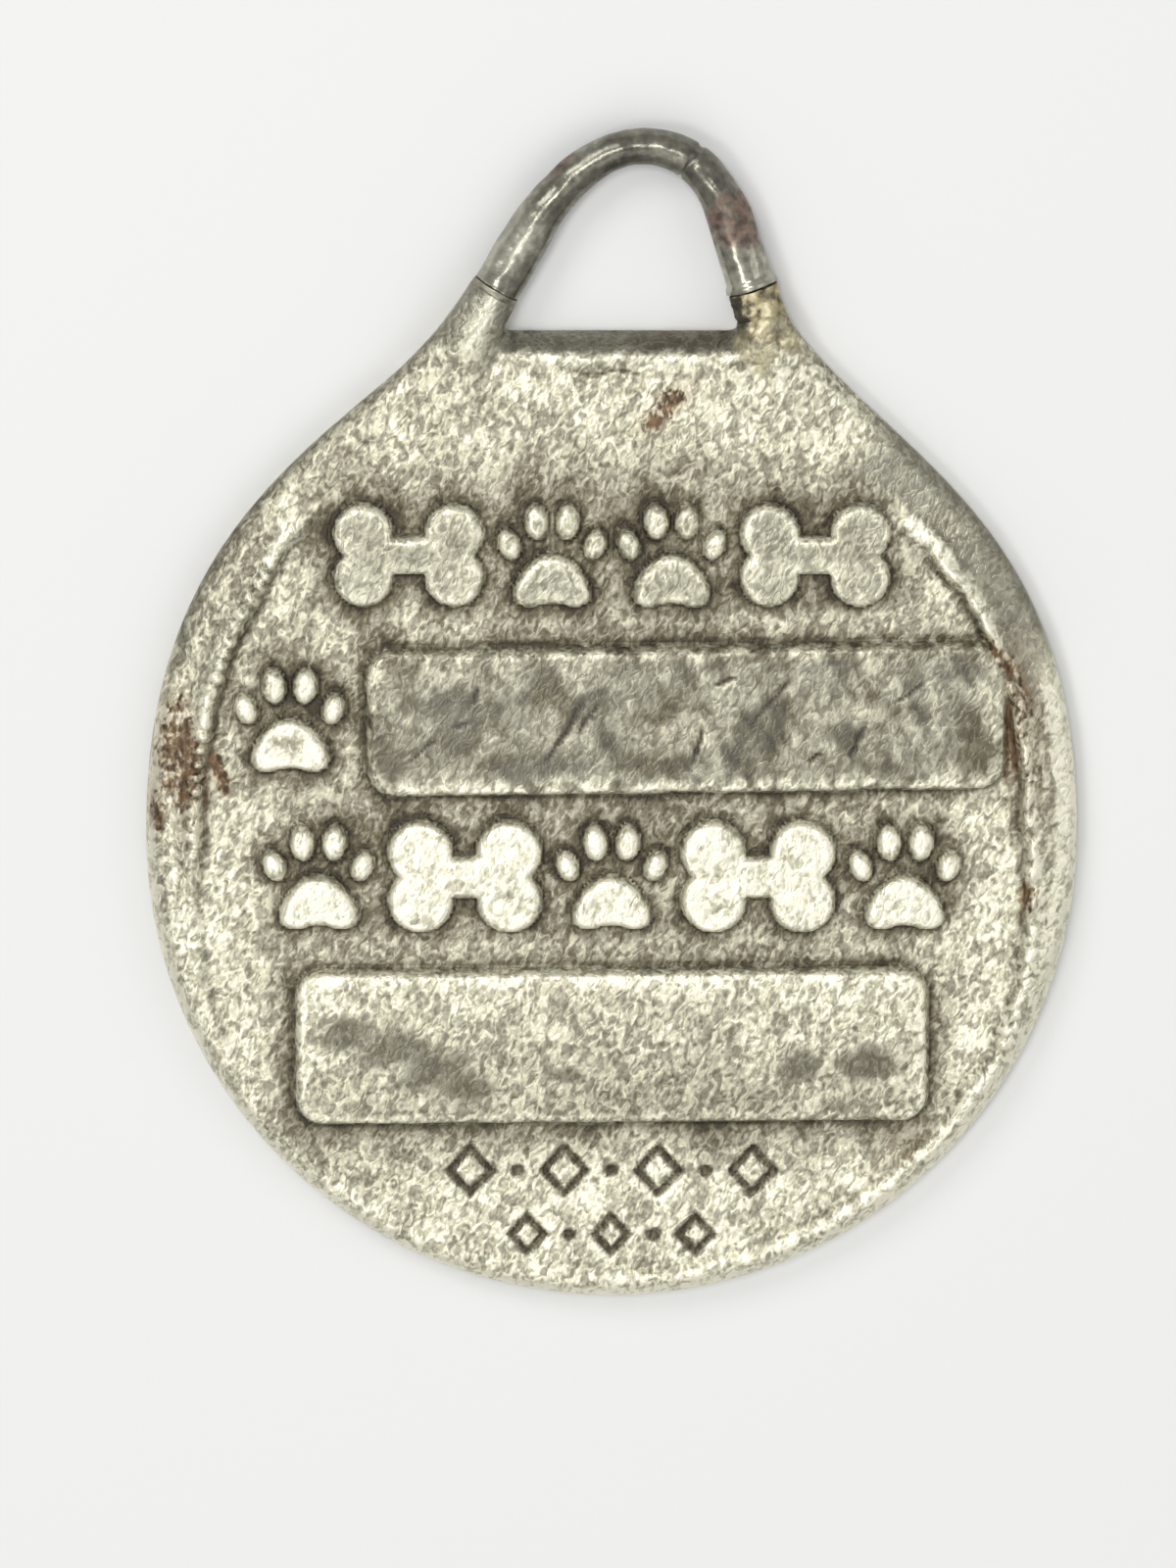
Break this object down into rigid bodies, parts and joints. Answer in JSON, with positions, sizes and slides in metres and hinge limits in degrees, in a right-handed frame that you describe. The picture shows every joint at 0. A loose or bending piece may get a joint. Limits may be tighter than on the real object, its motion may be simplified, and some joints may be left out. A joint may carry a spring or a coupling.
{
  "type": "dog collar medal",
  "caption": "Round cast pewter pet medal with a raised rim, two blank raised panels, raised bone and paw motifs, and a bent wire bail soldered onto two cast horns.",
  "frame": {"origin": "centre of the disc on its flat back", "axes": "+Z out of the face, +Y from the disc's centre to the bail, +X to the right as the face is read"},
  "size_m": [0.0318, 0.0404, 0.0019],
  "materials": {
    "pewter_casting": "aged as-cast pewter, grained, dark patina in the hollows, worn bright on the high spots",
    "bail_wire": "smooth tinned steel wire, worn dull, with a few rust spots",
    "solder": "dull grey soft solder",
    "braze": "lumpy yellow-brown mend, part oxidised"
  },
  "bodies": {
    "root": {"medal_disc": "pewter_casting", "bail_wire": "bail_wire", "left_solder_joint": "solder", "right_solder_joint": "braze"}
  },
  "joints": []
}
